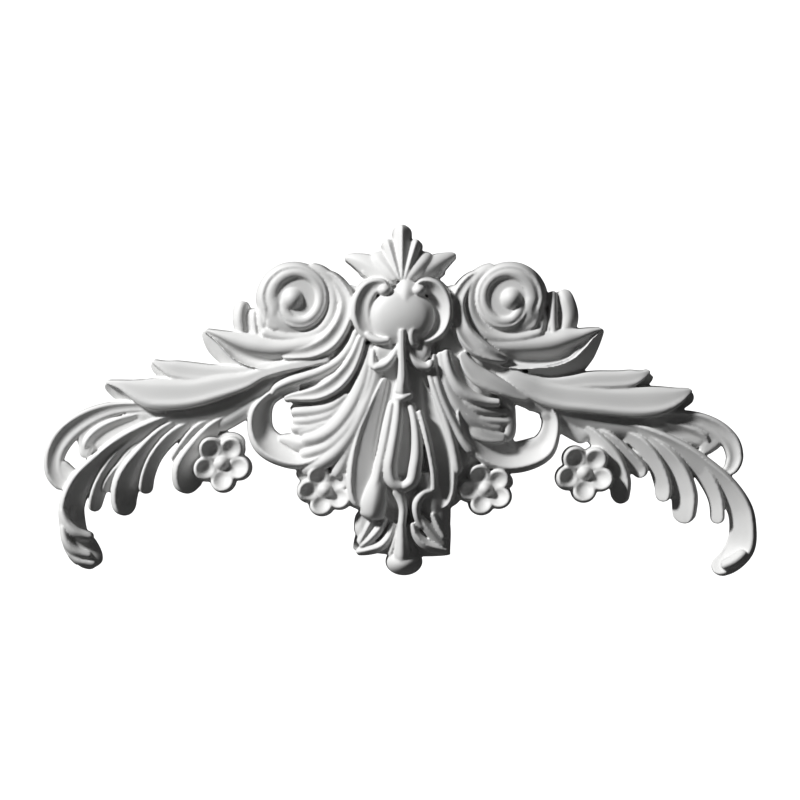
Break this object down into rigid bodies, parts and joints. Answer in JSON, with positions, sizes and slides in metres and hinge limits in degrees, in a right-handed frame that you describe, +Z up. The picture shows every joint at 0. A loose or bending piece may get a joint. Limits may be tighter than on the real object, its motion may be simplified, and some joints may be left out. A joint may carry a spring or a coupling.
{
  "type": "onlay applique",
  "caption": "Wide cast onlay applique with a crested cartouche, volutes, stepped leaves, curled acanthus arms, flowers and a pendant, flat at the back.",
  "frame": {"origin": "on the flat back, in the middle of the body", "axes": "+X to the viewer's right, +Z up, the relief faces -Y and the flat back faces +Y"},
  "size_m": [0.7159, 0.0603, 0.3515],
  "materials": {
    "primed_cast": "matte white primer on a rigid casting"
  },
  "bodies": {
    "root": {"applique": "primed_cast"}
  },
  "joints": []
}
